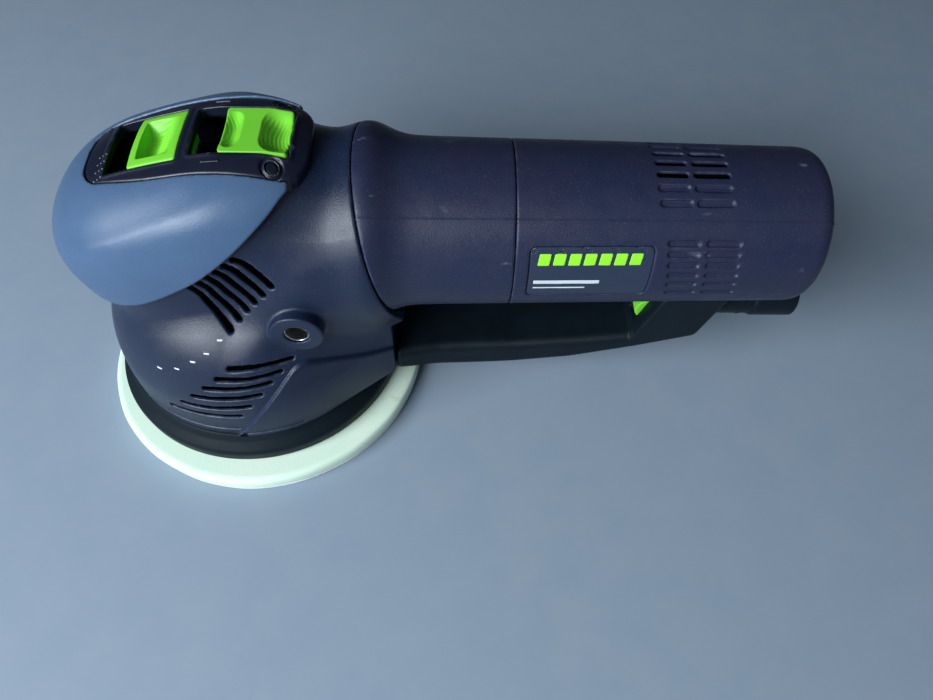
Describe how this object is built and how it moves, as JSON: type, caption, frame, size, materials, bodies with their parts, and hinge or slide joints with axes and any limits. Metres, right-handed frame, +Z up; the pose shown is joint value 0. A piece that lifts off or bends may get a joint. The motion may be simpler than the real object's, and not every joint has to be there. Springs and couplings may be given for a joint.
{
  "type": "dual action polisher",
  "caption": "Hand-held dual action polisher: geared eccentric head on a round pad, motor in a barrel grip behind it, and a dust duct with a hose port under the barrel.",
  "frame": {"origin": "centre of the spindle's axis on the plane of the pad's working face", "axes": "+Z up out of the pad along the spindle, +X rearwards along the barrel towards the hose port, +Y to the right of someone who stands behind the tool and faces its head"},
  "size_m": [0.3202, 0.15, 0.1382],
  "materials": {
    "housing_plastic": "fine grained, slightly glossy navy plastic with light scuffs",
    "soft_grip": "satin blue-grey soft rubber",
    "green_plastic": "satin bright green plastic",
    "black_plastic": "fine grained black plastic",
    "black_rubber": "matte black rubber",
    "pad_foam": "pale open-cell foam",
    "pad_felt": "short white felt nap",
    "label_film": "printed film, satin",
    "steel": "ground steel",
    "cast_alloy": "die-cast, lightly sandblasted",
    "iron_laminate": "stacked laminations",
    "brass": "plain brass",
    "carbon": "dull carbon",
    "circuit": "potted circuit module"
  },
  "bodies": {
    "tool_body": {"gear_housing": "housing_plastic", "head_grip": "soft_grip", "switch_panel": "housing_plastic", "panel_screw_left": "steel", "panel_screw_right": "steel", "barrel_front_shell": "housing_plastic", "barrel_rear_shell": "housing_plastic", "label_plate": "label_film", "power_inlet": "black_plastic", "inlet_pin_left": "brass", "inlet_pin_right": "brass", "extraction_duct": "black_plastic", "hose_port": "black_rubber", "power_switch": "black_plastic", "skirt_ring": "black_rubber", "bearing_bridge": "cast_alloy", "ring_gear": "steel", "lower_spindle_bearing": "steel", "upper_spindle_bearing": "steel", "front_motor_bearing": "steel", "bearing_plate": "cast_alloy", "stator": "iron_laminate", "rear_motor_bearing": "steel", "rear_bearing_holder": "black_plastic", "brush_holder_left": "brass", "brush_holder_right": "brass", "carbon_brush_left": "carbon", "carbon_brush_right": "carbon", "electronics_module": "circuit", "handle_insert_left": "steel", "handle_insert_right": "steel"},
    "dial": {"speed_dial": "green_plastic"},
    "slider": {"power_slider": "green_plastic", "slider_arm": "black_plastic"},
    "mode_slide_body": {"mode_carriage": "black_plastic"},
    "mode_button_body": {"mode_button": "green_plastic"},
    "spindle": {"eccentric_spindle": "steel", "counterweight": "cast_alloy", "crown_gear": "steel", "spindle_nut": "steel"},
    "pad": {"pad_felt_face": "pad_felt", "foam_pad": "pad_foam", "backing_plate": "black_plastic", "pad_hub": "cast_alloy", "pad_bolt_washer": "steel", "pad_bolt": "steel", "pad_bearing": "steel", "pad_gear": "steel"},
    "armature": {"armature_shaft": "steel", "bevel_pinion": "steel", "armature_core": "iron_laminate", "commutator": "brass", "cooling_fan": "black_plastic"}
  },
  "joints": [
    {"name": "dial_turn", "type": "hinge", "parent": "tool_body", "child": "dial", "pos_m": [0.1812, -0.007, 0.05], "axis": [0, 1, 0], "range_deg": [0, 270]},
    {"name": "power_slide", "type": "slide", "parent": "tool_body", "child": "slider", "axis": [-0.9781, 0, -0.2079], "range_m": [0, 0.009]},
    {"name": "mode_slide", "type": "slide", "parent": "tool_body", "child": "mode_slide_body", "axis": [-1, 0, 0], "range_m": [0, 0.01]},
    {"name": "mode_press", "type": "slide", "parent": "mode_slide_body", "child": "mode_button_body", "axis": [0, 0, -1], "range_m": [0, 0.002], "stiffness_N_per_m": 500, "springref_m": -0.002},
    {"name": "spindle_spin", "type": "hinge", "parent": "tool_body", "child": "spindle", "pos_m": [0, 0, 0], "axis": [0, 0, 1], "continuous": true},
    {"name": "pad_spin", "type": "hinge", "parent": "spindle", "child": "pad", "pos_m": [0.00177, -0.00177, 0], "axis": [0, 0, 1], "continuous": true},
    {"name": "armature_spin", "type": "hinge", "parent": "tool_body", "child": "armature", "pos_m": [0, 0, 0.0934], "axis": [1, 0, 0], "continuous": true}
  ],
  "couplings": [
    {"joint": "pad_spin", "follows": "spindle_spin", "ratio": -1.0976},
    {"joint": "armature_spin", "follows": "spindle_spin", "ratio": 2.9167}
  ]
}
